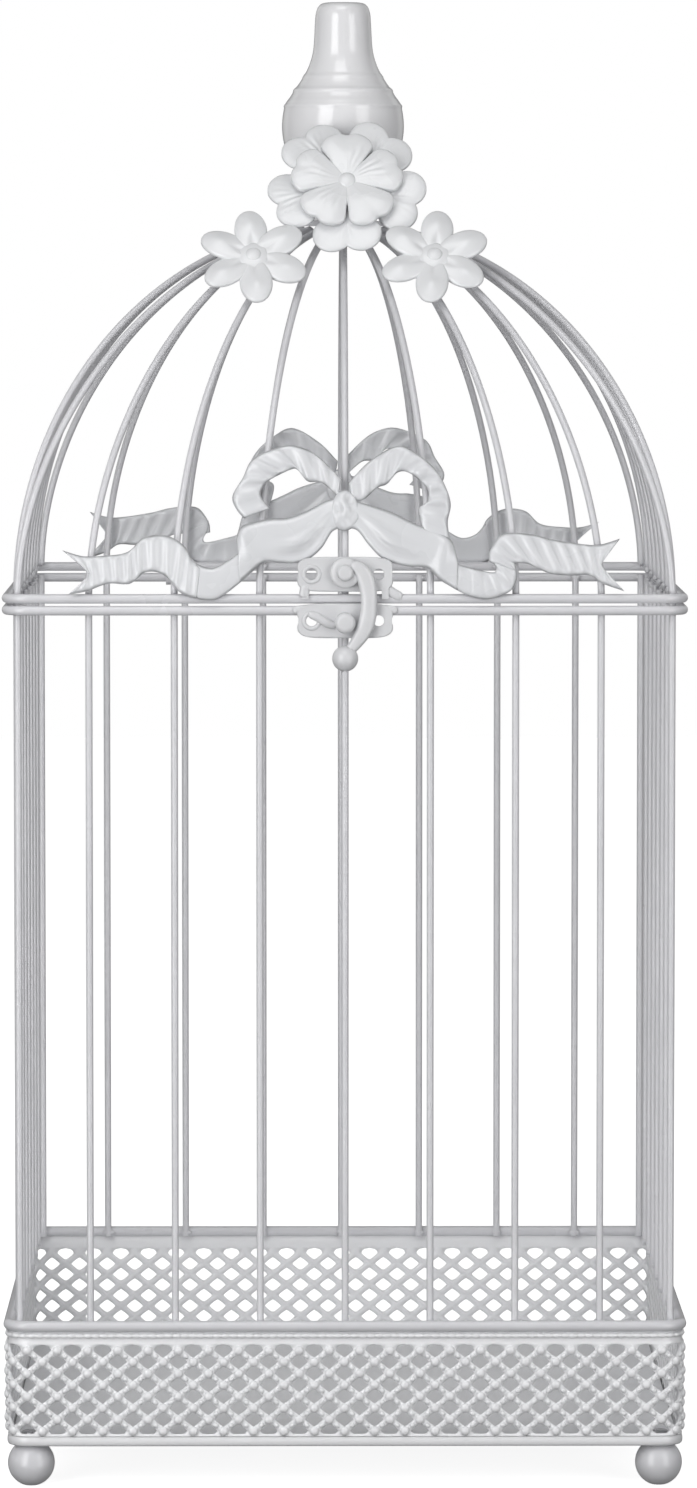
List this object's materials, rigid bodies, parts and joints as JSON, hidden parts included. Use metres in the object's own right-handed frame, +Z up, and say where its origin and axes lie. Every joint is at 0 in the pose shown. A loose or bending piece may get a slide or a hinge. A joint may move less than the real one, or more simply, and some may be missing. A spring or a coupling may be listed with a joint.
{
  "type": "wire cage wedding card box",
  "caption": "Square white wire bird cage card box on a pierced tray, with a domed lid hinged at the rear, bows, flowers, a finial and a swinging hook latch.",
  "frame": {"origin": "centre of the plan at floor level, where the ball feet stand", "axes": "+Z up, front with the hook latch faces -Y, +X to the right seen from the front"},
  "size_m": [0.2032, 0.211, 0.4426],
  "materials": {
    "white_coat": "satin powder coat",
    "finial_gloss": "gloss enamel",
    "floor_pan": "satin powder coat",
    "screws": "zinc plated"
  },
  "bodies": {
    "cage": {"floor_pan": "floor_pan", "gallery_front": "white_coat", "gallery_right": "white_coat", "gallery_rear": "white_coat", "gallery_left": "white_coat", "gallery_corners": "white_coat", "tray_rim": "white_coat", "foot_front_left": "white_coat", "foot_front_right": "white_coat", "foot_rear_left": "white_coat", "foot_rear_right": "white_coat", "foot_screws": "screws", "body_rim": "white_coat", "corner_posts": "white_coat", "front_bars": "white_coat", "right_bars": "white_coat", "rear_bars": "white_coat", "left_bars": "white_coat", "catch_plate": "white_coat", "catch_stud": "white_coat"},
    "lid": {"lid_rim": "white_coat", "front_ribs": "white_coat", "right_ribs": "white_coat", "rear_ribs": "white_coat", "left_ribs": "white_coat", "corner_ribs": "white_coat", "crown_disc": "white_coat", "finial": "finial_gloss", "finial_screw": "screws", "bow_front": "white_coat", "bow_rear": "white_coat", "big_flower_back": "white_coat", "big_flower_front": "white_coat", "big_flower_bead": "white_coat", "big_flower_stem": "white_coat", "small_flower_left": "white_coat", "small_flower_left_bead": "white_coat", "small_flower_left_stem": "white_coat", "small_flower_right": "white_coat", "small_flower_right_bead": "white_coat", "small_flower_right_stem": "white_coat", "latch_plate": "white_coat", "latch_rivet": "white_coat", "hinge_clip_left": "white_coat", "hinge_clip_right": "white_coat"},
    "hook": {"latch_hook": "white_coat"}
  },
  "joints": [
    {"name": "lid_hinge", "type": "hinge", "parent": "cage", "child": "lid", "pos_m": [0, 0.1, 0.2611], "axis": [-1, 0, 0], "range_deg": [0, 130]},
    {"name": "latch_hook", "type": "hinge", "parent": "lid", "child": "hook", "pos_m": [0, -0.1039, 0.2724], "axis": [0, -1, 0], "range_deg": [0, 75]}
  ]
}
